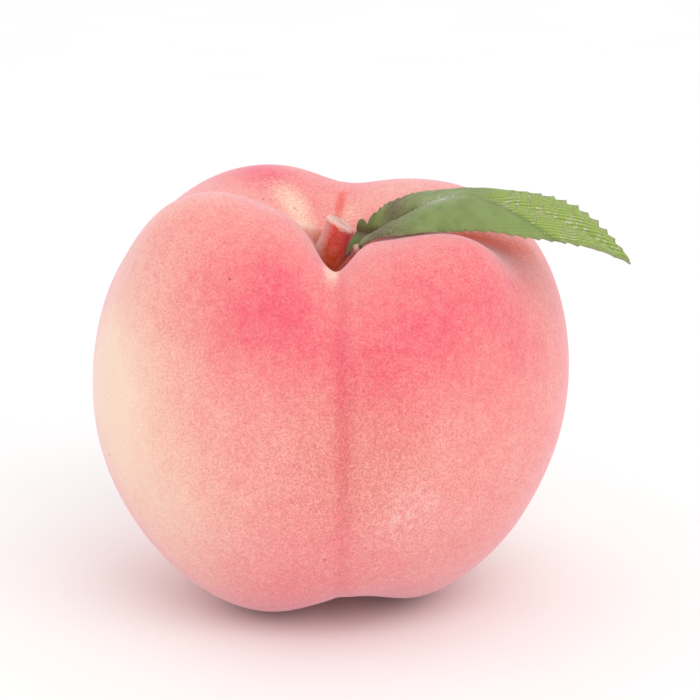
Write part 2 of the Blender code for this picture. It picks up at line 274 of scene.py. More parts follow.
def fruit_grid():
    """Returns the rings of points: azimuth, polar angle, share of stem, height on it, share of cut."""
    step = np.linspace(-math.pi, math.pi, COLUMNS, endpoint=False)
    azimuth = step - SEAM_CROWDING * np.sin(step)

    # The dished cut, the rounded rim and the wall, as (height, radius, slant) of each ring
    share = np.linspace(0.12, 1.0, CUT_RINGS)
    flat_radius = STEM_TOP_RADIUS - STEM_RIM_ROUND
    dish = STEM_DISH_DEPTH / STEM_LENGTH * (1.0 - share ** 2)
    cut = np.stack([1.0 - dish, flat_radius * share, 0 * share + 1])
    turn = np.linspace(0.0, 0.5 * math.pi, RIM_RINGS + 1)[1:]
    down = STEM_RIM_ROUND * (1.0 - np.cos(turn)) / STEM_LENGTH
    rim = np.stack([1.0 - down, flat_radius + STEM_RIM_ROUND * np.sin(turn), 0 * turn + 1])
    height = np.linspace(0.93, STEM_FILLET_HEIGHT / STEM_LENGTH, WALL_RINGS)
    wall = np.stack([height, stem_radius(height), smooth_step(height)])
    profile = np.concatenate([cut, rim, wall], axis=1)
    height, radius, slant = (ring_grid(line) for line in profile)
    stem = stem_points(np.broadcast_to(azimuth, height.shape), height, radius, slant)

    # The body, from the hollow's floor to the flat spot
    share = np.linspace(0.0, 1.0, BODY_RINGS + 1)[:-1]
    polar = np.radians(FOOT_ANGLE + (180.0 - FOOT_ANGLE) * (0.62 * share + 0.38 * share ** 2))
    body = skin(np.broadcast_to(azimuth, (BODY_RINGS, COLUMNS)), ring_grid(polar))

    # The fillet: a quarter turn from the wall's last ring to the body's first
    turn = np.linspace(0.0, 0.5 * math.pi, FILLET_RINGS + 2)[1:-1, None]
    last, first = stem[-1], body[0]
    fillet = last + (first - last) * (1.0 - np.cos(turn))[..., None]
    fillet[..., 2] = last[:, 2] + (first[:, 2] - last[:, 2]) * np.sin(turn)

    points = np.concatenate([stem, fillet, body])
    foot_share = np.linspace(1.0, 0.0, FILLET_RINGS + 2)[1:-1]
    on_stem = ring_grid(np.concatenate([np.ones(len(stem)), foot_share, np.zeros(BODY_RINGS)]))
    fillet_height = np.linspace(profile[0][-1], 0.0, FILLET_RINGS + 2)[1:-1]
    heights = ring_grid(np.concatenate([profile[0], fillet_height, np.zeros(BODY_RINGS)]))
    polars = ring_grid(np.concatenate([np.full(len(points) - BODY_RINGS, polar[0]), polar]))
    cut_share = np.zeros(len(points))
    cut_share[:CUT_RINGS + 2] = 1.0
    return points, np.broadcast_to(azimuth, polars.shape), polars, on_stem, heights, ring_grid(cut_share)


# %% [markdown]
# Mesh helpers
# A closed form is a grid that runs round, with one point to close each end. The faces are worked out as
# whole arrays of point numbers. Values that belong to the skin, such as where the paint was sprayed, are
# kept as named attributes of the mesh, and materials read them.

# %% Closed surfaces and attributes
def closed_surface(name, grid, top, bottom):
    """Makes a mesh from rings of points, counted from the top down, closed by a fan at each end."""
    rings, columns = grid.shape[:2]
    points = np.concatenate([grid.reshape(-1, 3), top[None], bottom[None]])
    number = np.arange(rings * columns).reshape(rings, columns)
    right = np.roll(number, -1, axis=1)
    quads = np.stack([number[:-1], number[1:], right[1:], right[:-1]], axis=-1).reshape(-1, 4)
    top_fan = np.stack([np.full(columns, rings * columns), number[0], right[0]], axis=-1)
    bottom_fan = np.stack([np.full(columns, rings * columns + 1), right[-1], number[-1]], axis=-1)
    mesh = bpy.data.meshes.new(name)
    mesh.from_pydata(points.tolist(), [], quads.tolist() + top_fan.tolist() + bottom_fan.tolist())
    mesh.shade_smooth()
    piece = bpy.data.objects.new(name, mesh)
    bpy.context.scene.collection.objects.link(piece)
    return piece


def paint_attribute(piece, name, grid_values, *ends):
    """Keeps one number a point on the mesh, for materials to read; ends are for the closing points."""
    values = np.concatenate([np.asarray(grid_values, dtype=np.float32).reshape(-1), ends])
    attribute = piece.data.attributes.new(name, "FLOAT", "POINT")
    attribute.data.foreach_set("value", values.astype(np.float32))


# %% Make the fruit
points, azimuth, polar, on_stem, stem_height, on_cut = fruit_grid()
cut_middle = STEM_TOP - np.array([0.0, 0.0, STEM_DISH_DEPTH])
lowest = np.array([0.0, 0.0, REST_SPOT[2]])
ends = (lift_to_rest(cut_middle), lift_to_rest(lowest))
fruit = closed_surface("flocked_fruit", lift_to_rest(points), *ends)
print("fruit faces:", len(fruit.data.polygons))

# %% [markdown]
# Where the paint was sprayed, and where shade and light are painted
# The maker sprays cream foam with coral from above and from below and leaves the left cheek pale. The
# brown in the hollow, the orange under the leaf and the greyer underside are painted shade, and the cream
# on the hollow's wall is painted light. Each pass of the airbrush, and each patch of painted shade or
# light, is a soft round spot, so it can be the same bell-shaped lobe as the form, here with a strength in
# place of a height. A negative one leaves paint off. Noise breaks the edges up later, in the material.

# %% Airbrush passes, painted shade and painted light
CORAL_BASE = 0.62
CORAL_SPRAY = {
    "upper left blush": (0.34, -16.0, 58.0, 18.0),
    "upper right blush": (0.16, 20.0, 60.0, 18.0),
    "right cheek blush": (0.20, 48.0, 62.0, 22.0),
    "beside the groove left pale": (-0.12, 0.0, 52.0, 9.0),
    "upper middle blush": (0.13, 13.0, 76.0, 14.0),
    "front base blush": (0.16, -10.0, 128.0, 20.0),
    "back blush": (0.24, 175.0, 72.0, 30.0),
    "back left hump": (0.3, -143.0, 31.0, 9.0),
    "back right hump left pale": (-0.14, 143.0, 33.0, 9.0),
    "left cheek left pale": (-0.68, -68.0, 84.0, 24.0),
    "left flank left pale": (-0.32, -46.0, 112.0, 22.0),
    "left crown left pale": (-0.17, -78.0, 36.0, 18.0),
    "back cheek left pale": (-0.45, 122.0, 104.0, 26.0),
}
# Painted shade in brown: on the hollow's floor and walls, and thinly over the middle right of the seam
BROWN_PAINTED_SHADE = {
    "hollow floor": (0.95, 0.0, 12.0, 9.0),
    "hollow left": (0.2, -105.0, 12.0, 6.0),
    "hollow right": (0.9, 75.0, 20.0, 8.0),
    "middle, thin": (0.3, 7.0, 93.0, 27.0),
    "hollow right, low": (0.8, 42.0, 9.5, 4.5),
}
# The leaf's painted shadow in orange, on the fruit under and beside it
LEAF_SHADOW_SPOTS = {
    "behind the right lobe": (0.9, 80.0, 42.0, 5.5),
    "under the leaf": (1.0, 75.0, 47.0, 6.5),
    "beside it": (0.5, 86.0, 54.0, 5.5),
    "on its shoulder": (0.4, 60.0, 46.0, 5.0),
}
# Painted light: paler cream on the hollow's shaded wall
HOLLOW_WALL_PAINTED_LIGHT = {
    "hollow wall, left": (0.75, -144.0, 21.0, 6.5),
    "hollow wall, back": (0.4, 160.0, 20.0, 6.0),
    "hollow wall, low left": (0.8, -132.0, 12.0, 5.0),
}
SCUFFS = {
    "right of the seam": (0.8, 20.0, 108.0, 7.0),
    "near the base": (0.6, -11.0, 149.0, 5.0),
    "right side": (0.6, 78.0, 107.0, 6.0),
}
# Painted shade: greyer mauve towards the underside
UNDERSIDE_SHADE = {"underside": (0.9, 0.0, 165.0, 42.0)}

# Painted lines, with the same numbers as a furrow: they only colour the skin; the crease's line is painted
# shade
PAINTED_LINES = {
    "crease": (2.7, 1.0, 80.0, 48.0, 1.3),
    "streak": (172.5, 1.0, 23.0, 8.0, 0.85),
    "bare groove": (0.0, 1.0, 42.0, 6.0, 1.3),
}


def summed_spots(passes, base=0.0):
    """Sum of the passes' lobes over the base coat, kept between 0 and 1."""
    direction = directions(azimuth, polar)
    total = np.full(azimuth.shape, base)
    for shape in passes.values():
        total = total + lobe(direction, *shape)
    return np.clip(total, 0.0, 1.0)


# %% Attributes of the skin
skin_radius = fruit_radius(azimuth, polar)
lines = {name: furrow(azimuth, polar, skin_radius, *shape) for name, shape in PAINTED_LINES.items()}
for name, values, *ends in (
    ("coral", summed_spots(CORAL_SPRAY, CORAL_BASE), 0.5, 0.6),
    ("brown", summed_spots(BROWN_PAINTED_SHADE), 0.0, 0.0),
    ("orange", summed_spots(LEAF_SHADOW_SPOTS), 0.0, 0.0),
    ("cream_patch", summed_spots(HOLLOW_WALL_PAINTED_LIGHT) + lines["bare groove"], 0.0, 0.0),
    ("dusty", summed_spots(UNDERSIDE_SHADE), 0.0, 1.0),
    ("scuff", summed_spots(SCUFFS), 0.0, 0.0),
    ("crease", lines["crease"], 0.0, 0.0),
    ("streak", lines["streak"], 0.0, 0.0),
    ("on_stem", on_stem, 1.0, 0.0),
    ("stem_height", stem_height, 1.0, 0.0),
    ("stem_cut", on_cut, 1.0, 0.0),
    ("stem_side", on_stem * np.sin(azimuth), 0.0, 0.0),
):
    paint_attribute(fruit, name, values, *ends)

# %% [markdown]
# Shader helpers
# Materials here are formulas too, so a few short functions stand for the nodes: arithmetic, a fade between
# two values, a blend of two colours, and grain of a given size in millimetres. Each takes plain numbers or
# the sockets of other nodes.


# %% Node helpers
def put(tree, value, socket):
    """Links a socket, or sets a plain value; a colour of three numbers gets its alpha."""
    if isinstance(value, bpy.types.NodeSocket):
        tree.links.new(value, socket)
    elif socket.type == "RGBA":
        socket.default_value = (*value, 1.0)
    else:
        socket.default_value = value


def add_node(tree, kind, **inputs):
    """Adds a node and fills the named inputs."""
    node = tree.nodes.new(kind)
    for name, value in inputs.items():
        put(tree, value, node.inputs[name.replace("_", " ")])
    return node


def formula(tree, operation, *values):
    """A Math node on one to three values."""
    node = tree.nodes.new("ShaderNodeMath")
    node.operation = operation
    for value, socket in zip(values, node.inputs):
        put(tree, value, socket)
    return node.outputs["Value"]


def times(tree, *factors):
    """The product of the factors."""
    product = factors[0]
    for factor in factors[1:]:
        product = formula(tree, "MULTIPLY", product, factor)
    return product


def fade(tree, value, start, end, low=0.0, high=1.0):
    """A smooth step from low at start to high at end."""
    node = tree.nodes.new("ShaderNodeMapRange")
    node.interpolation_type = "SMOOTHSTEP"
    names = ("Value", "From Min", "From Max", "To Min", "To Max")
    for name, number in zip(names, (value, start, end, low, high)):
        put(tree, number, node.inputs[name])
    return node.outputs["Result"]


def blend(tree, share, under, over, mode="MIX"):
    """A blend of two colours."""
    node = tree.nodes.new("ShaderNodeMix")
    node.data_type = "RGBA"
    node.blend_type = mode
    put(tree, share, node.inputs[0])
    put(tree, under, node.inputs[6])
    put(tree, over, node.inputs[7])
    return node.outputs[2]


def grain(tree, place, size, detail=2.0, roughness=0.5):
    """Noise with features of the given size in millimetres, spread to fill 0 to 1."""
    node = add_node(tree, "ShaderNodeTexNoise", Vector=place, Scale=1.0 / (size * MM))
    node.inputs["Detail"].default_value = detail
    node.inputs["Roughness"].default_value = roughness
    return fade(tree, node.outputs["Fac"], 0.28, 0.72)


def attribute(tree, name):
    """The number that the mesh keeps under a name."""
    node = tree.nodes.new("ShaderNodeAttribute")
    node.attribute_name = name
    return node.outputs["Fac"]


def object_place(tree):
    """The point's own place on the object, in metres."""
    return tree.nodes.new("ShaderNodeTexCoord").outputs["Object"]


def srgb(red, green, blue):
    """A colour as paint charts give it, 0 to 255, made linear."""
    share = np.array([red, green, blue]) / 255.0
    linear = np.where(share <= 0.04045, share / 12.92, ((share + 0.055) / 1.055) ** 2.4)
    return tuple(float(v) for v in linear)


def new_material(name):
    """A material with a Principled shader; returns it, its nodes and that shader."""
    material = bpy.data.materials.new(name)
    material.use_nodes = True
    return material, material.node_tree, material.node_tree.nodes["Principled BSDF"]


# %% [markdown]
# Spray droplets
# Airbrushed paint isn't a smooth gradient. It lands as droplets, so a half-covered place is a mix of bare
# and covered dots. The group compares the coverage with a fine noise: where the noise is lower than the
# coverage, there is paint. It is a group, because the skin uses it for each colour and the leaf for its
# print.

# %% Droplet group
def make_droplet_group():
    """Coverage in, mask out: (coverage * (1 + 2 softness) - noise) / (2 softness), kept from 0 to 1."""
    group = bpy.data.node_groups.new("spray droplets", "ShaderNodeTree")
    for name, kind, value in (
        ("Place", "NodeSocketVector", None),
        ("Coverage", "NodeSocketFloat", 0.5),
        ("Droplet size", "NodeSocketFloat", 0.3),
        ("Softness", "NodeSocketFloat", 0.4),
    ):
        socket = group.interface.new_socket(name=name, in_out="INPUT", socket_type=kind)
        if value is not None:
            socket.default_value = value
    group.interface.new_socket(name="Mask", in_out="OUTPUT", socket_type="NodeSocketFloat")
    inputs = group.nodes.new("NodeGroupInput").outputs
    output = group.nodes.new("NodeGroupOutput")
    place = inputs["Place"]
    scale = formula(group, "DIVIDE", 1.0 / MM, inputs["Droplet size"])
    noise = add_node(group, "ShaderNodeTexNoise", Vector=place, Scale=scale, Detail=1.5, Roughness=0.6)
    spread = fade(group, noise.outputs["Fac"], 0.25, 0.75)
    double = times(group, inputs["Softness"], 2.0)
    widened = times(group, inputs["Coverage"], formula(group, "ADD", double, 1.0))
    mask = formula(group, "DIVIDE", formula(group, "SUBTRACT", widened, spread), double)
    group.nodes[-1].use_clamp = True
    put(group, mask, output.inputs["Mask"])
    return group


droplet_group = make_droplet_group()


def droplets(tree, place, coverage, size, softness=0.4):
    """Places the droplet group with its own values."""
    node = tree.nodes.new("ShaderNodeGroup")
    node.node_tree = droplet_group
    put(tree, place, node.inputs["Place"])
    put(tree, coverage, node.inputs["Coverage"])
    put(tree, size, node.inputs["Droplet size"])
    put(tree, softness, node.inputs["Softness"])
    return node.outputs["Mask"]


# %% [markdown]
# The flocked skin
# Under the paint the foam is cream. Coral lies over it in droplets, and the flock on top is what makes a
# pale, soft rim. Principled's sheen gives that rim, so it is set on the shader itself. The flock's tips are
# uneven, which a fine bump shows.

# %% Skin colours
CREAM = srgb(248, 214, 190)
CORAL = srgb(238, 102, 116)
CREASE_SHADE_CORAL = srgb(222, 84, 104)
PALE_FLOCK = srgb(255, 214, 210)
SHADE_BROWN = srgb(188, 72, 24)
LEAF_SHADOW_ORANGE = srgb(232, 76, 12)
UNDERSIDE_SHADE_MAUVE = srgb(220, 160, 172)
STEM_RED = srgb(232, 86, 76)
STEM_PALE = srgb(236, 196, 184)
STEM_GREY = srgb(176, 156, 152)
SPECK = srgb(120, 60, 60)
FLOCK_SIZE = 0.2
FLOCK_SHADE = (0.86, 0.80, 0.80)
FLOCK_SHINE = (1.09, 1.19, 1.19)


# %% Skin material
def swing(tree, place, size, amount):
    """Grain that swings a value by amount / 2 each way round zero."""
    return times(tree, formula(tree, "SUBTRACT", grain(tree, place, size), 0.5), amount)


def make_skin():
    """Cream foam, sprayed coral, painted shade and light, with flock, scuffs and specks."""
    material, tree, shader = new_material("flocked skin")
    place = object_place(tree)

    # The coverage wanders over patches of 7 and 1.6 mm, and the paint lands as fine droplets
    coverage = formula(tree, "ADD", attribute(tree, "coral"), swing(tree, place, 7.0, 0.06))
    coverage = formula(tree, "ADD", coverage, swing(tree, place, 1.6, 0.08))
    paint = droplets(tree, place, coverage, 0.45, 6.0)
    colour = blend(tree, paint, CREAM, CORAL)

    # Painted shade darkens the seam's crease and greys the underside; the back groove holds more paint
    colour = blend(tree, times(tree, attribute(tree, "crease"), 0.42), colour, CREASE_SHADE_CORAL)
    streak = droplets(tree, place, attribute(tree, "streak"), 0.5, 0.6)
    colour = blend(tree, times(tree, streak, 0.7), colour, STEM_RED)
    colour = blend(tree, times(tree, attribute(tree, "dusty"), 0.45), colour, UNDERSIDE_SHADE_MAUVE)

    # Cream in the groove and, as painted light, on the hollow's wall; painted shade as brown on its floor
    # and the leaf's painted shadow as orange under it
    cream_cover = droplets(tree, place, attribute(tree, "cream_patch"), 0.5, 1.0)
    colour = blend(tree, times(tree, cream_cover, 0.85), colour, CREAM)
    brown = droplets(tree, place, attribute(tree, "brown"), 0.4, 1.4)
    colour = blend(tree, times(tree, brown, 0.9), colour, SHADE_BROWN)
    orange = droplets(tree, place, attribute(tree, "orange"), 0.6, 1.2)
    colour = blend(tree, times(tree, orange, 0.95), colour, LEAF_SHADOW_ORANGE)
    scuffs = times(tree, attribute(tree, "scuff"), grain(tree, place, 1.1))
    colour = blend(tree, times(tree, scuffs, 0.5), colour, PALE_FLOCK)

    # The stem: red in front, pale on its left as a painted sheen, brown towards its foot as painted shade,
    # pale with a little grey on its cut
    ragged_height = formula(tree, "ADD", attribute(tree, "stem_height"), swing(tree, place, 1.2, 0.12))
    stem = blend(tree, fade(tree, ragged_height, 0.3, 0.8), SHADE_BROWN, STEM_RED)
    patches = times(tree, grain(tree, place, 1.0), 0.15)
    stem = blend(tree, patches, stem, STEM_PALE)
    # Paler on its left: a painted sheen
    left = fade(tree, attribute(tree, "stem_side"), -0.35, -0.95)
    stem = blend(tree, times(tree, left, 0.75), stem, STEM_PALE)
    rim = formula(tree, "MAXIMUM", attribute(tree, "stem_cut"), fade(tree, ragged_height, 0.9, 1.0))
    stem = blend(tree, times(tree, rim, 0.75), stem, STEM_PALE)
    grey = times(tree, attribute(tree, "stem_cut"), fade(tree, grain(tree, place, 1.6), 0.5, 0.8))
    stem = blend(tree, times(tree, grey, 0.4), stem, STEM_GREY)
    colour = blend(tree, attribute(tree, "on_stem"), colour, stem)

    # Fibre by fibre the flock is lighter and darker
    tufts = swing(tree, place, 2.4 * FLOCK_SIZE, 0.5)
    fibres = formula(tree, "ADD", swing(tree, place, FLOCK_SIZE, 1.1), tufts)
    strength = fade(tree, paint, 0.0, 0.6, 0.3, 1.0)
    fibres = formula(tree, "MULTIPLY_ADD", fibres, strength, 0.5)
    colour = blend(tree, 1.0, colour, blend(tree, fibres, FLOCK_SHADE, FLOCK_SHINE), "MULTIPLY")

    # A few dark specks of flock dust
    specks = add_node(tree, "ShaderNodeTexVoronoi", Vector=place, Scale=1.0 / (5.0 * MM))
    dark = fade(tree, specks.outputs["Distance"], 0.075, 0.035)
    chosen = add_node(tree, "ShaderNodeSeparateColor", Color=specks.outputs["Color"]).outputs["Red"]
    dark = times(tree, dark, fade(tree, chosen, 0.80, 0.82))
    colour = blend(tree, times(tree, dark, 0.5), colour, SPECK)
    put(tree, colour, shader.inputs["Base Color"])

    nap = formula(tree, "ADD", fibres, swing(tree, place, 1.4, 0.4))
    bump = add_node(tree, "ShaderNodeBump", Height=nap, Strength=0.2, Distance=0.12 * MM)
    put(tree, bump.outputs["Normal"], shader.inputs["Normal"])
    shader.inputs["Roughness"].default_value = 0.92
    shader.inputs["Specular IOR Level"].default_value = 0.15
    shader.inputs["Sheen Weight"].default_value = 0.55
    shader.inputs["Sheen Roughness"].default_value = 0.4
    shader.inputs["Sheen Tint"].default_value = (0.98, 0.84, 1.0, 1.0)
    return material


fruit.data.materials.append(make_skin())
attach(fruit, "root")
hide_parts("fruit")

# %% [markdown]
# The form of the leaf
# The leaf is die-cut from woven polyester and pressed hot, which gives it its arch and veins. It could be a
# flat plane bent by a curve modifier, but its two halves hang at different angles along the midrib. So each
# point is worked out from the midrib's curve, the angle of its half there, and its distance out to the edge.

# %% Leaf sizes
LEAF_MIDRIB = np.array([
    (4.3, -1.9, 26.4),
    (6.4, -4.1, 26.4),
    (8.6, -6.4, 27.5),
    (11.8, -8.5, 30.2),
    (16.0, -9.6, 32.8),
    (21.2, -10.6, 34.4),
    (27.3, -11.9, 33.9),
    (33.7, -12.9, 32.3),
    (39.3, -13.4, 29.8),
    (44.2, -13.5, 26.8),
    (48.6, -13.5, 23.9),
])
LEAF_FAR_RISE = np.array([86.0, 72.0, 50.0, 22.0, 2.0, -9.0, -2.0, 11.0, 24.0, 28.0, 20.0])
LEAF_NEAR_FALL = np.array([54.0, 30.0, 8.0, 9.0, 21.0, 32.0, 32.0, 33.0, 21.0, 10.0, 4.0])
LEAF_HALF_WIDTH = 8.0
LEAF_WIDEST = 0.42
BASE_FULLNESS = 0.9
TIP_FULLNESS = 0.68
LEAF_CAMBER = 0.9
LEAF_TEETH = 27
TOOTH_DEPTH = 0.9
TOOTH_STEP = 0.16
BASE_TEETH = 0.3
NEAR_TEETH = 0.5
FAR_TEETH = 1.3
NEAR_DROOP = 0.6
TAB_ROUND = 0.027
TAB_FAR = 2.2
TAB_NEAR = 4.8
NECK_AT = 0.085
NECK_HALF_WIDTH = 1.5
TIP_HALF_WIDTH = 0.25
CLOTH_THICKNESS = 0.2


# %% Curves through the leaf's sizes
def spline(values, place):
    """Catmull-Rom curve through evenly spaced values, for an array of places from 0 to 1."""
    values = values.reshape(len(values), -1)
    before_first = 2.0 * values[:1] - values[1:2]
    after_last = 2.0 * values[-1:] - values[-2:-1]
    padded = np.concatenate([before_first, values, after_last])
    count = len(values) - 1
    index = np.clip((place * count).astype(int), 0, count - 1)
    t = (place * count - index)[..., None]
    p0, p1, p2, p3 = (padded[index + k] for k in range(4))
    curve = 2.0 * p1 + (p2 - p0) * t
    curve = curve + (2.0 * p0 - 5.0 * p1 + 4.0 * p2 - p3) * t ** 2
    curve = curve + (3.0 * p1 - p0 - 3.0 * p2 + p3) * t ** 3
    return 0.5 * curve


def blade_half_width(place):
    """A quarter sine ** BASE_FULLNESS up to the widest place, then a quarter cosine ** TIP_FULLNESS."""
    rise = np.sin(0.5 * math.pi * np.clip(place / LEAF_WIDEST, 0.0, 1.0)) ** BASE_FULLNESS
    beyond = np.clip((place - LEAF_WIDEST) / (1.0 - LEAF_WIDEST), 0.0, 1.0)
    fall = np.cos(0.5 * math.pi * beyond) ** TIP_FULLNESS
    return LEAF_HALF_WIDTH * np.where(place < LEAF_WIDEST, rise, fall)


def leaf_half_width(place, tab_reach):
    """The tab, the neck, and the blade that opens from it."""
    share = smooth_step((place - TAB_ROUND) / (NECK_AT - TAB_ROUND))
    rounded = np.sqrt(1.0 - np.square(1.0 - np.clip(place / TAB_ROUND, 0.0, 1.0)) * 0.8)
    tab = tab_reach * rounded + (NECK_HALF_WIDTH - tab_reach) * share
    narrowest = np.where(place < LEAF_WIDEST, NECK_HALF_WIDTH, TIP_HALF_WIDTH)
    blade = np.maximum(blade_half_width(place), narrowest)
    return np.where(place < NECK_AT, tab, blade)


def tooth_edge(place):
    """Saw teeth: each rises towards the tip and steps back in; blunt near the base and at the tip."""
    phase = np.mod((place - NECK_AT) / (1.0 - NECK_AT) * LEAF_TEETH, 1.0)
    rise = np.minimum(phase / (1.0 - TOOTH_STEP), (1.0 - phase) / TOOTH_STEP)
    depth = TOOTH_DEPTH * np.minimum(1.0, blade_half_width(place) / (0.45 * LEAF_HALF_WIDTH))
    depth = depth * (BASE_TEETH + (1.0 - BASE_TEETH) * smooth_step((place - 0.35) / 0.3))
    return np.where(place > NECK_AT, depth * (rise ** 1.3 - 0.5), 0.0)


# %% [markdown]
# Pressed relief
# The hot press leaves a sunken midrib and shallow side veins that slant towards the tip, and the cloth
# ripples a little between them. These heights are under half a millimetre, and they are added along the
# normal of the smooth leaf.

# %% Leaf relief
VEIN_PITCH = 4.6
VEIN_SLANT = 1.1
VEIN_DEPTH = 0.13
MIDRIB_DEPTH = 0.35
MIDRIB_HALF_WIDTH = 0.55
RIPPLE = 0.10
CREASE_DEPTH = 0.25
CREASE_FROM = (23.0, 0.0)
CREASE_TO = (43.0, -7.0)


def crease_line(along, across):
    """bell(distance from the line between two places of the near half), fading at its ends."""
    (a, b), (c, d) = CREASE_FROM, CREASE_TO
    slope = (d - b) / (c - a)
    ends = smooth_step((along - a) / 4.0) * smooth_step((c - along) / 4.0)
    return bell((across - b - slope * (along - a)) / 0.5) * ends


def leaf_relief(along, across):
    """- midrib groove - slanted side veins - crease + ripple, in millimetres."""
    midrib = MIDRIB_DEPTH * bell(across / MIDRIB_HALF_WIDTH)
    phase = (along - VEIN_SLANT * np.abs(across)) / VEIN_PITCH
    vein = VEIN_DEPTH * np.cos(math.pi * phase) ** 8 * smooth_step(np.abs(across) / 1.5)
    ripple = RIPPLE * np.sin(along / 2.3 + 0.8 * across) * np.sin(across / 1.9 + 0.4)
    return ripple - midrib - vein - CREASE_DEPTH * crease_line(along, across)


# %% Leaf surface
TAB_STATIONS = 16
LEAF_COLUMNS = 17


def leaf_surface():
    """Points of the cloth's middle surface, each with its distances along, across and in from the edge."""
    tab = np.linspace(0.0, NECK_AT, TAB_STATIONS, endpoint=False)
    corners = np.array([0.0, 0.12, 0.24, 0.36, 0.48, 0.60, 0.70, 0.78, 1.0 - TOOTH_STEP, 0.92])
    teeth = (np.arange(LEAF_TEETH)[:, None] + corners).reshape(-1) / LEAF_TEETH
    place = np.concatenate([tab, NECK_AT + (1.0 - NECK_AT) * teeth, [1.0]])
    reach = np.linspace(-1.0, 1.0, 2 * LEAF_COLUMNS + 1)
    place_grid, reach_grid = np.meshgrid(place, reach, indexing="ij")

    middle = spline(LEAF_MIDRIB, place)
    ahead = spline(LEAF_MIDRIB, np.minimum(place + 0.01, 1.0))
    ahead = ahead - spline(LEAF_MIDRIB, np.maximum(place - 0.01, 0.0))
    ahead /= np.linalg.norm(ahead, axis=-1, keepdims=True)
    side = np.cross((0.0, 0.0, 1.0), ahead)
    side /= np.linalg.norm(side, axis=-1, keepdims=True)
    up = np.cross(ahead, side)

    far = reach_grid > 0.0
    rise = spline(LEAF_FAR_RISE, place_grid)[..., 0]
    fall = spline(LEAF_NEAR_FALL, place_grid)[..., 0]
    angle = np.radians(np.where(far, rise, -fall))[..., None]
    far_width = leaf_half_width(place_grid, TAB_FAR)
    near_width = leaf_half_width(place_grid, TAB_NEAR)
    half_width = np.where(far, far_width, near_width)
    teeth_share = np.where(far, FAR_TEETH, NEAR_TEETH * (1.0 - smooth_step((place_grid - 0.82) / 0.05)))
    teeth = tooth_edge(place_grid) * teeth_share
    distance = half_width * np.abs(reach_grid) + teeth * np.abs(reach_grid) ** 6
    arch = LEAF_CAMBER * half_width / LEAF_HALF_WIDTH * np.sin(math.pi * np.abs(reach_grid))
    out = np.where(far, 1.0, -1.0)[..., None] * side[:, None]
    away = out * np.cos(angle) + up[:, None] * np.sin(angle)
    raised = up[:, None] * np.cos(angle) - out * np.sin(angle)
    droop = NEAR_DROOP * smooth_step((place_grid - 0.12) / 0.12) * smooth_step((0.65 - place_grid) / 0.2)
    arch = arch - np.where(far, 0.0, droop * np.abs(reach_grid) ** 3)
    grid = middle[:, None] + away * distance[..., None] + raised * arch[..., None]

    steps = np.linalg.norm(np.diff(middle, axis=0), axis=-1)
    along = np.broadcast_to(np.concatenate([[0.0], np.cumsum(steps)])[:, None], reach_grid.shape)
    across = np.where(far, distance, -distance)
    normal = np.cross(np.gradient(grid, axis=0), np.gradient(grid, axis=1))
    normal /= np.linalg.norm(normal, axis=-1, keepdims=True) + 1e-9
    fading = smooth_step(place_grid / NECK_AT - 0.6)
    grid = grid + normal * (leaf_relief(along, across) * fading)[..., None]
    return grid, along, across, half_width - distance


# %% [markdown]
# From a surface to cloth
# The surface is open at its edges, as cloth is, and a Solidify modifier gives it the cloth's thickness and
# closes the rim. A UV map in real metres follows the cloth, so the threads run with it, not with the room.

# %% Make the leaf
def open_surface(name, grid, along, across):
    """Makes a mesh from a grid of points with a UV map of the distances along and across, in metres."""
    rows, columns = grid.shape[:2]
    number = np.arange(rows * columns).reshape(rows, columns)
    corners = [number[:-1, :-1], number[1:, :-1], number[1:, 1:], number[:-1, 1:]]
    quads = np.stack(corners, axis=-1).reshape(-1, 4)
    mesh = bpy.data.meshes.new(name)
    mesh.from_pydata(grid.reshape(-1, 3).tolist(), [], quads.tolist())
    mesh.shade_smooth()
    flat = np.stack([along, across], axis=-1).reshape(-1, 2) * MM
    layer = mesh.uv_layers.new(name="cloth")
    layer.data.foreach_set("uv", flat[quads.reshape(-1)].reshape(-1).astype(np.float32))
    piece = bpy.data.objects.new(name, mesh)
    bpy.context.scene.collection.objects.link(piece)
    return piece


leaf_grid, leaf_along, leaf_across, leaf_inside = leaf_surface()
leaf = open_surface("cloth_leaf", lift_to_rest(leaf_grid), leaf_along, leaf_across)
paint_attribute(leaf, "to_edge", leaf_inside)
paint_attribute(leaf, "creased", crease_line(leaf_along, leaf_across))
thickness = leaf.modifiers.new("cloth thickness", "SOLIDIFY")
thickness.thickness = CLOTH_THICKNESS * MM
thickness.offset = 0.0

# %% [markdown]
# Woven cloth
# Threads run both ways under and over each other, with a gap at each crossing of two spaces. A picture of
# a weave would do, but two sine waves give the same thing at any scale: each is a thread's roundness, the
# higher one lies on top, and where both are low there is a gap that light passes. The rows that run along
# the leaf lie further apart than the columns that run across it.

# %% Weave group
def roundness(tree, value, pitch):
    """|sin(pi * value / pitch)|: 0 between threads and 1 on top of each, with the pitch in millimetres."""
    turn = formula(tree, "DIVIDE", math.pi / MM, pitch)
    return formula(tree, "ABSOLUTE", formula(tree, "SINE", times(tree, value, turn)))


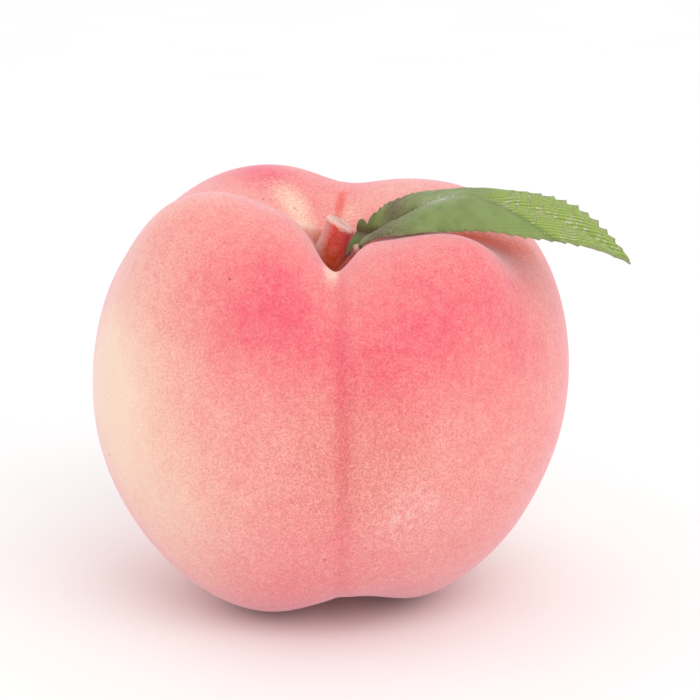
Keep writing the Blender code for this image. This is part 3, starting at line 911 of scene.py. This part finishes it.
def make_weave_group():
    """Cloth place in; thread height, roundness of the rows, and the gaps between threads out."""
    group = bpy.data.node_groups.new("plain weave", "ShaderNodeTree")
    for name, kind, value in (
        ("Cloth", "NodeSocketVector", None),
        ("Column pitch", "NodeSocketFloat", 0.3),
        ("Row pitch", "NodeSocketFloat", 0.6),
    ):
        socket = group.interface.new_socket(name=name, in_out="INPUT", socket_type=kind)
        if value is not None:
            socket.default_value = value
    for name in ("Height", "Rows", "Gaps"):
        group.interface.new_socket(name=name, in_out="OUTPUT", socket_type="NodeSocketFloat")
    inputs = group.nodes.new("NodeGroupInput").outputs
    output = group.nodes.new("NodeGroupOutput")
    axes = add_node(group, "ShaderNodeSeparateXYZ", Vector=inputs["Cloth"]).outputs
    column = roundness(group, axes["X"], inputs["Column pitch"])
    row = roundness(group, axes["Y"], inputs["Row pitch"])
    height = formula(group, "MAXIMUM", times(group, column, 0.7), row)
    put(group, height, output.inputs["Height"])
    put(group, row, output.inputs["Rows"])
    thread = formula(group, "MAXIMUM", column, row)
    put(group, fade(group, thread, 0.95, 0.82), output.inputs["Gaps"])
    return group


weave_group = make_weave_group()

# %% Cloth colours
LEAF_GREEN = srgb(150, 170, 106)
LEAF_OLIVE = srgb(132, 150, 94)
LEAF_LIME = srgb(182, 202, 110)
LEAF_THREAD = srgb(136, 162, 80)
LEAF_THROUGH = srgb(192, 212, 112)
LEAF_PRINT = srgb(146, 128, 98)
LEAF_DOTS = srgb(98, 78, 66)
LEAF_WORN_HIGHLIGHT = srgb(222, 220, 206)
LEAF_FRINGE = srgb(196, 172, 156)
LEAF_DARK = srgb(88, 112, 62)
COLUMN_PITCH = 0.27
ROW_PITCH = 0.58
WEAVE_TURN = -17.0
OPEN_FROM = 25.0
OPEN_ALL_FROM = 36.0


# %% Cloth material
def make_cloth():
    """Green polyester, smooth near its base and open towards its tip, with print, wear and a fringe."""
    material, tree, shader = new_material("leaf cloth")
    cloth = add_node(tree, "ShaderNodeUVMap")
    cloth.uv_map = "cloth"
    cloth = cloth.outputs["UV"]
    axes = add_node(tree, "ShaderNodeSeparateXYZ", Vector=cloth).outputs
    along = formula(tree, "DIVIDE", axes["X"], MM)
    across = formula(tree, "DIVIDE", axes["Y"], MM)
    off_middle = formula(tree, "ABSOLUTE", across)
    to_edge = attribute(tree, "to_edge")

    # The threads waver a little
    turn = (0.0, 0.0, math.radians(WEAVE_TURN))
    turned = add_node(tree, "ShaderNodeMapping", Vector=cloth, Rotation=turn)
    wobble = add_node(tree, "ShaderNodeTexNoise", Vector=cloth, Scale=1.0 / (7.0 * MM), Detail=1.0)
    shift = add_node(tree, "ShaderNodeVectorMath")
    shift.operation = "SCALE"
    put(tree, wobble.outputs["Color"], shift.inputs[0])
    shift.inputs["Scale"].default_value = 0.35 * MM
    moved = add_node(tree, "ShaderNodeVectorMath")
    moved.operation = "ADD"
    put(tree, turned.outputs["Vector"], moved.inputs[0])
    put(tree, shift.outputs["Vector"], moved.inputs[1])
    weave = tree.nodes.new("ShaderNodeGroup")
    weave.node_tree = weave_group
    put(tree, moved.outputs["Vector"], weave.inputs["Cloth"])
    weave.inputs["Column pitch"].default_value = COLUMN_PITCH
    weave.inputs["Row pitch"].default_value = ROW_PITCH
    height, rows, gaps = (weave.outputs[name] for name in ("Height", "Rows", "Gaps"))

    # The press fused the cloth near the base, in most of the near half and along the edge
    crease_drop = times(tree, formula(tree, "SUBTRACT", along, CREASE_FROM[0]), 0.4)
    upper = fade(tree, formula(tree, "ADD", across, crease_drop), 0.0, 1.0)
    opened = times(tree, fade(tree, along, OPEN_FROM, OPEN_FROM + 3.0), upper)
    opened = formula(tree, "MAXIMUM", opened, fade(tree, along, OPEN_ALL_FROM, OPEN_ALL_FROM + 3.0))
    border = fade(tree, formula(tree, "ADD", to_edge, swing(tree, cloth, 2.0, 0.3)), 0.35, 0.65)
    opened = times(tree, opened, border)

    colour = blend(tree, grain(tree, cloth, 3.0), LEAF_OLIVE, LEAF_GREEN)
    colour = blend(tree, fade(tree, along, 14.0, 32.0, 0.0, 0.6), colour, LEAF_GREEN)
    # Painted light: lime between the rows where the open weave lets light through
    lime = times(tree, opened, fade(tree, rows, 0.8, 0.55))
    colour = blend(tree, times(tree, opened, 0.85), colour, LEAF_THREAD)
    colour = blend(tree, lime, colour, LEAF_LIME)

    # Reddish-brown print at the base and along the midrib, a pale worn midrib with a painted highlight,
    # painted shade in the crease, a pale fringe
    near_base = times(tree, fade(tree, along, 17.0, 8.0), fade(tree, along, 3.0, 9.0))
    near_midrib = times(tree, fade(tree, off_middle, 2.2, 0.4), fade(tree, along, 20.0, 10.0))
    printed = times(tree, formula(tree, "MAXIMUM", near_base, near_midrib), 0.6)
    colour = blend(tree, times(tree, fade(tree, along, 6.0, 3.5), 0.7), colour, LEAF_DARK)
    neck = times(tree, fade(tree, along, 3.5, 5.0), fade(tree, along, 7.5, 5.5))
    colour = blend(tree, times(tree, neck, 0.5), colour, LEAF_THREAD)
    colour = blend(tree, times(tree, printed, 0.6), colour, LEAF_PRINT)
    colour = blend(tree, droplets(tree, cloth, printed, 0.3, 0.3), colour, LEAF_DOTS)
    worn_highlight = times(tree, fade(tree, off_middle, 0.6, 0.2), grain(tree, cloth, 1.0))
    worn_highlight = times(tree, worn_highlight, fade(tree, along, 5.0, 7.0), fade(tree, along, 24.0, 18.0))
    colour = blend(tree, times(tree, worn_highlight, 0.75), colour, LEAF_WORN_HIGHLIGHT)
    # Pale flecks beside the midrib: wear with painted glints of the threads
    rubbed_glints = times(tree, fade(tree, off_middle, 2.4, 0.8), fade(tree, along, 13.0, 16.0))
    rubbed_glints = times(tree, rubbed_glints, fade(tree, along, 24.0, 19.0), grain(tree, cloth, 0.5))
    colour = blend(tree, times(tree, rubbed_glints, 0.5), colour, LEAF_WORN_HIGHLIGHT)
    # Painted shade in the pressed crease
    colour = blend(tree, times(tree, attribute(tree, "creased"), 0.45), colour, LEAF_DARK)
    fringe = times(tree, fade(tree, to_edge, 0.25, 0.0), grain(tree, cloth, 0.6))
    colour = blend(tree, times(tree, fringe, 0.7), colour, LEAF_FRINGE)
    # Painted shade between threads: darker where the weave lies lower
    threads = formula(tree, "MULTIPLY_ADD", height, 0.16, 0.9)
    colour = blend(tree, 1.0, colour, threads, "MULTIPLY")
    put(tree, colour, shader.inputs["Base Color"])
    shader.inputs["Roughness"].default_value = 0.75
    shader.inputs["Specular IOR Level"].default_value = 0.3
    shader.inputs["Sheen Weight"].default_value = 0.25
    shader.inputs["Sheen Roughness"].default_value = 0.5

    # White pinholes show in bands across the cloth, where the threads have drawn apart
    bands = add_node(tree, "ShaderNodeMapping", Vector=cloth, Scale=(1.0, 0.14, 1.0))
    bands = fade(tree, grain(tree, bands.outputs["Vector"], 1.3), 0.5, 0.6)
    holes = times(tree, gaps, bands, opened)
    put(tree, formula(tree, "SUBTRACT", 1.0, holes), shader.inputs["Alpha"])
    bump = add_node(tree, "ShaderNodeBump", Height=height, Strength=0.5, Distance=0.08 * MM)
    put(tree, bump.outputs["Normal"], shader.inputs["Normal"])

    through = add_node(tree, "ShaderNodeBsdfTranslucent", Color=LEAF_THROUGH)
    mix = tree.nodes.new("ShaderNodeMixShader")
    mix.inputs[0].default_value = 0.3
    put(tree, shader.outputs["BSDF"], mix.inputs[1])
    put(tree, through.outputs["BSDF"], mix.inputs[2])
    put(tree, mix.outputs["Shader"], tree.nodes["Material Output"].inputs["Surface"])
    return material


leaf.data.materials.append(make_cloth())
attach(leaf, "root")
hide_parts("leaf")

# %% [markdown]
# The drop of glue
# Hot-melt glue sets as a smooth, milky drop. It is an egg with a slightly fuller upper half, squeezed
# between the leaf's tab and the hollow's wall, so a bent sphere of rings is enough. It sinks a little into
# both, as glue does.

# %% Make the glue
GLUE_CENTRE = np.array([4.6, -5.0, 24.0])
GLUE_RADII = np.array([1.1, 1.5, 0.95])
GLUE_RINGS = 40
GLUE_SIDES = 56
GLUE_DARK = srgb(186, 148, 128)
GLUE_PALE = srgb(216, 184, 162)


def glue_grid():
    """Ellipsoid rings; the radius around swells by 18% of cos(polar) and wavers by 5%."""
    azimuth = np.linspace(0.0, 2.0 * math.pi, GLUE_SIDES, endpoint=False)
    polar = np.linspace(0.0, math.pi, GLUE_RINGS + 1)[1:-1, None]
    swell = (1.0 + 0.18 * np.cos(polar)) * (1.0 + 0.05 * np.sin(3.0 * azimuth + 2.0 * polar))
    x = GLUE_RADII[0] * swell * np.sin(polar) * np.sin(azimuth)
    y = -GLUE_RADII[1] * swell * np.sin(polar) * np.cos(azimuth)
    z = GLUE_RADII[2] * np.cos(polar) + 0.0 * azimuth
    return GLUE_CENTRE + np.stack([x, y, z], axis=-1)


glue_up = np.array([0.0, 0.0, GLUE_RADII[2]])
glue = closed_surface(
    "glue_drop",
    lift_to_rest(glue_grid()),
    lift_to_rest(GLUE_CENTRE + glue_up),
    lift_to_rest(GLUE_CENTRE - glue_up),
)


def make_glue():
    """Milky hot-melt glue."""
    material, tree, shader = new_material("hot glue")
    place = object_place(tree)
    colour = blend(tree, grain(tree, place, 0.8), GLUE_DARK, GLUE_PALE)
    put(tree, colour, shader.inputs["Base Color"])
    put(tree, fade(tree, grain(tree, place, 0.5), 0.0, 1.0, 0.25, 0.45), shader.inputs["Roughness"])
    shader.inputs["Coat Weight"].default_value = 0.3
    return material


glue.data.materials.append(make_glue())
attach(glue, "root")
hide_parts("glue_bead")

# %% [markdown]
# Floor, light and camera
# The photograph is a cut-out on white with almost no shading, as from a light tent. A pale floor and a
# bright, even sky give that, and one large soft lamp in front and above adds a little shape.

# %% Floor
FLOOR_HALF = 4.0


def make_floor():
    """A large pale plane, with a faint mottling so that it isn't one flat colour."""
    mesh = bpy.data.meshes.new("floor")
    corners = [(x * FLOOR_HALF, y * FLOOR_HALF, 0.0) for x, y in ((-1, -1), (1, -1), (1, 1), (-1, 1))]
    mesh.from_pydata(corners, [], [(0, 1, 2, 3)])
    floor = bpy.data.objects.new("floor", mesh)
    bpy.context.scene.collection.objects.link(floor)
    material, tree, shader = new_material("studio floor")
    colour = blend(tree, grain(tree, object_place(tree), 40.0), (0.93, 0.93, 0.93), (0.95, 0.95, 0.95))
    put(tree, colour, shader.inputs["Base Color"])
    shader.inputs["Roughness"].default_value = 0.9
    mesh.materials.append(material)
    return floor


make_floor()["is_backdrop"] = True

# %% Light
SKY_STRENGTH = 1.0
LAMP_POWER = 5.0
LAMP_SIZE = 1.2

world = bpy.data.worlds.new("light tent")
world.use_nodes = True
world.node_tree.nodes["Background"].inputs["Color"].default_value = (1.0, 1.0, 1.0, 1.0)
world.node_tree.nodes["Background"].inputs["Strength"].default_value = SKY_STRENGTH
bpy.context.scene.world = world
bpy.context.scene.view_settings.view_transform = "Standard"


def add_lamp(name, place, power, size, target):
    """A square soft lamp that faces the target."""
    light = bpy.data.lights.new(name, "AREA")
    light.energy = power
    light.size = size
    lamp = bpy.data.objects.new(name, light)
    lamp.location = place
    away = np.array(place) - np.array(target)
    lamp.rotation_mode = "QUATERNION"
    lamp.rotation_quaternion = mathutils.Vector(away).to_track_quat("Z", "Y")
    bpy.context.scene.collection.objects.link(lamp)


middle_of_fruit = tuple(lift_to_rest((0.0, 0.0, 0.0)))
add_lamp("front lamp", (0.5, -1.0, 1.1), LAMP_POWER, LAMP_SIZE, middle_of_fruit)

# %% Camera
CAMERA_ELEVATION = 16.0
CAMERA_DISTANCE = 0.55
PIXELS_PER_MM = 5.96
PHOTO_WIDTH = 700
SENSOR_WIDTH = 36.0
FRUIT_MIDDLE_PIXEL = (331.1, 381.4)


def add_camera():
    """Looks at the fruit's middle along +Y and down; the lens gives the photograph's scale there."""
    data = bpy.data.cameras.new("camera")
    data.sensor_width = SENSOR_WIDTH
    data.lens = PIXELS_PER_MM / MM * CAMERA_DISTANCE * SENSOR_WIDTH / PHOTO_WIDTH
    data.shift_x = (0.5 * PHOTO_WIDTH - FRUIT_MIDDLE_PIXEL[0]) / PHOTO_WIDTH
    data.shift_y = (FRUIT_MIDDLE_PIXEL[1] - 0.5 * PHOTO_WIDTH) / PHOTO_WIDTH
    data.clip_start = 0.05
    data.clip_end = 20.0
    camera = bpy.data.objects.new("camera", data)
    tilt = math.radians(CAMERA_ELEVATION)
    back = mathutils.Vector((0.0, -math.cos(tilt), math.sin(tilt)))
    camera.location = mathutils.Vector(middle_of_fruit) + back * CAMERA_DISTANCE
    camera.rotation_mode = "QUATERNION"
    camera.rotation_quaternion = back.to_track_quat("Z", "Y")
    bpy.context.scene.collection.objects.link(camera)
    bpy.context.scene.camera = camera
    print("lens:", round(data.lens, 1), "mm")


add_camera()

# %% Compare the boxes
visual_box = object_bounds()
boxes = {"cad": [list(corner) for corner in cad_box], "visual": [list(corner) for corner in visual_box]}
for name, (low, high) in boxes.items():
    print(name, [round((b - a) / MM, 2) for a, b in zip(low, high)], "mm")
